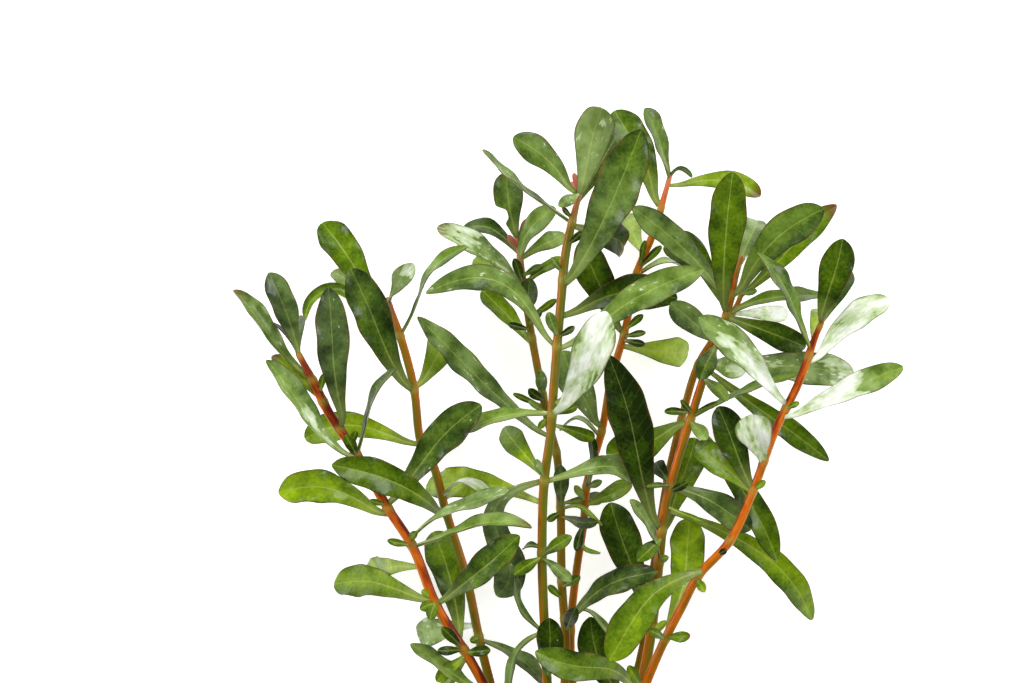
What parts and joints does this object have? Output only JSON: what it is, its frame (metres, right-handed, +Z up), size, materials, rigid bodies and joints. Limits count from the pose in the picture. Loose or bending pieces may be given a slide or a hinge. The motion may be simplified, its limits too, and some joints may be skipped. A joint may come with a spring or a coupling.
{
  "type": "ludwigia inclinata cuba plant",
  "caption": "Bushy stem plant with slender orange-red stems and glossy spoon-shaped green leaves, forking from one short root crown and laid on its back.",
  "frame": {"origin": "middle of the plant's bounding box, at the surface that it lies on", "axes": "+Y from the cut crown to the shoot tips, +X to the viewer's right, +Z up from the surface"},
  "size_m": [0.166, 0.193, 0.0625],
  "materials": {
    "leaf": "glossy living leaf, mid to dark green, with a pale midrib",
    "stem": "smooth living stem, orange-red to olive, with small green leaves grown on it",
    "crown": "brown fibrous root stub, cut flat below"
  },
  "bodies": {
    "root": {"crown": "crown", "left_outer_stem": "stem", "left_outer_leaf_1": "leaf", "left_outer_leaf_2": "leaf", "left_outer_leaf_3": "leaf", "left_outer_leaf_4": "leaf", "left_outer_leaf_5": "leaf", "left_outer_leaf_6": "leaf", "left_outer_leaf_7": "leaf", "left_inner_stem": "stem", "left_inner_leaf_1": "leaf", "left_inner_leaf_2": "leaf", "left_inner_leaf_3": "leaf", "left_inner_leaf_4": "leaf", "left_inner_leaf_5": "leaf", "left_inner_leaf_6": "leaf", "mid_left_stem": "stem", "mid_left_leaf_1": "leaf", "mid_left_leaf_2": "leaf", "mid_left_leaf_3": "leaf", "centre_stem": "stem", "centre_leaf_1": "leaf", "centre_leaf_2": "leaf", "centre_leaf_3": "leaf", "centre_leaf_4": "leaf", "centre_leaf_5": "leaf", "centre_leaf_6": "leaf", "centre_leaf_7": "leaf", "centre_leaf_8": "leaf", "centre_leaf_9": "leaf", "centre_leaf_10": "leaf", "centre_leaf_11": "leaf", "mid_right_stem": "stem", "mid_right_leaf_1": "leaf", "mid_right_leaf_2": "leaf", "mid_right_leaf_3": "leaf", "mid_right_leaf_4": "leaf", "mid_right_leaf_5": "leaf", "right_inner_stem": "stem", "right_inner_leaf_1": "leaf", "right_inner_leaf_2": "leaf", "right_inner_leaf_3": "leaf", "right_inner_leaf_4": "leaf", "right_inner_leaf_5": "leaf", "right_inner_leaf_6": "leaf", "right_inner_leaf_7": "leaf", "right_inner_leaf_8": "leaf", "right_inner_leaf_9": "leaf", "right_inner_leaf_10": "leaf", "right_inner_leaf_11": "leaf", "right_back_stem": "stem", "right_back_leaf_1": "leaf", "right_back_leaf_2": "leaf", "right_outer_stem": "stem", "right_outer_leaf_1": "leaf", "right_outer_leaf_2": "leaf", "right_outer_leaf_3": "leaf", "right_outer_leaf_4": "leaf", "right_outer_leaf_5": "leaf", "right_outer_leaf_6": "leaf"}
  },
  "joints": []
}
